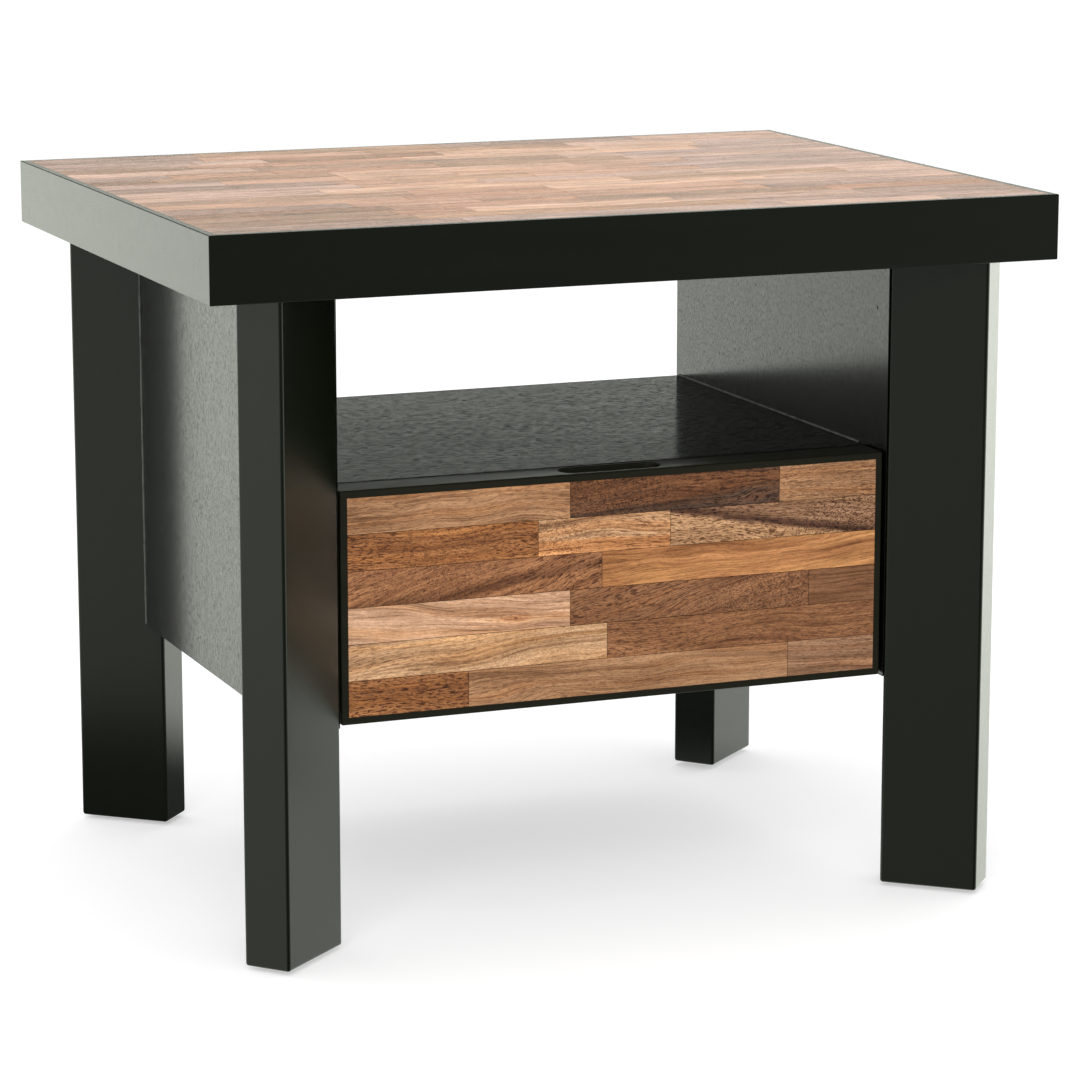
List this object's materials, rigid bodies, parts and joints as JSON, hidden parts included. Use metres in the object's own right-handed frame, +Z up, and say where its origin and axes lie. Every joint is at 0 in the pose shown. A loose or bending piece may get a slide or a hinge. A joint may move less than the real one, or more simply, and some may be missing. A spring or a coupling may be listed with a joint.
{
  "type": "side table with drawer",
  "caption": "Side table: a thick stave-faced slab on plank legs set diagonally at the corners, with an open bay over a wide drawer that has a finger slot in its top edge.",
  "frame": {"origin": "on the floor, under the middle of the slab", "axes": "+X to the right as seen from the drawer's side, +Y to the back, +Z up; the drawer opens towards -Y"},
  "size_m": [0.686, 0.53, 0.56],
  "materials": {
    "black_wood": "black stain under satin lacquer, open pores",
    "top_staves": "mixed hardwood staves under satin lacquer",
    "front_staves": "mixed hardwood staves under satin lacquer",
    "core_board": "dark stained board",
    "drawer_wood": "clear lacquered hardwood",
    "plywood": "clear lacquered plywood",
    "dowel_wood": "bare beech",
    "steel": "zinc plated"
  },
  "bodies": {
    "table": {"top_core": "core_board", "top_staves": "top_staves", "top_lipping_front": "black_wood", "top_lipping_back": "black_wood", "top_lipping_left": "black_wood", "top_lipping_right": "black_wood", "leg_front_left": "black_wood", "leg_front_right": "black_wood", "leg_back_left": "black_wood", "leg_back_right": "black_wood", "leg_glides": "steel", "side_panel_left": "black_wood", "side_panel_right": "black_wood", "shelf": "black_wood", "case_floor": "core_board", "case_back": "black_wood", "runner_left": "drawer_wood", "runner_right": "drawer_wood", "runner_screws": "steel", "stop_rail": "drawer_wood", "board_dowels": "dowel_wood", "side_top_dowels": "dowel_wood", "leg_side_dowels": "dowel_wood", "leg_top_dowels": "dowel_wood"},
    "drawer": {"drawer_front": "black_wood", "drawer_front_staves": "front_staves", "drawer_side_left": "drawer_wood", "drawer_side_right": "drawer_wood", "drawer_back": "drawer_wood", "drawer_bottom": "plywood", "drawer_bottom_screws": "steel", "drawer_stop_pins": "dowel_wood"}
  },
  "joints": [
    {"name": "drawer_slide", "type": "slide", "parent": "table", "child": "drawer", "axis": [0, -1, 0], "range_m": [0, 0.25]}
  ]
}
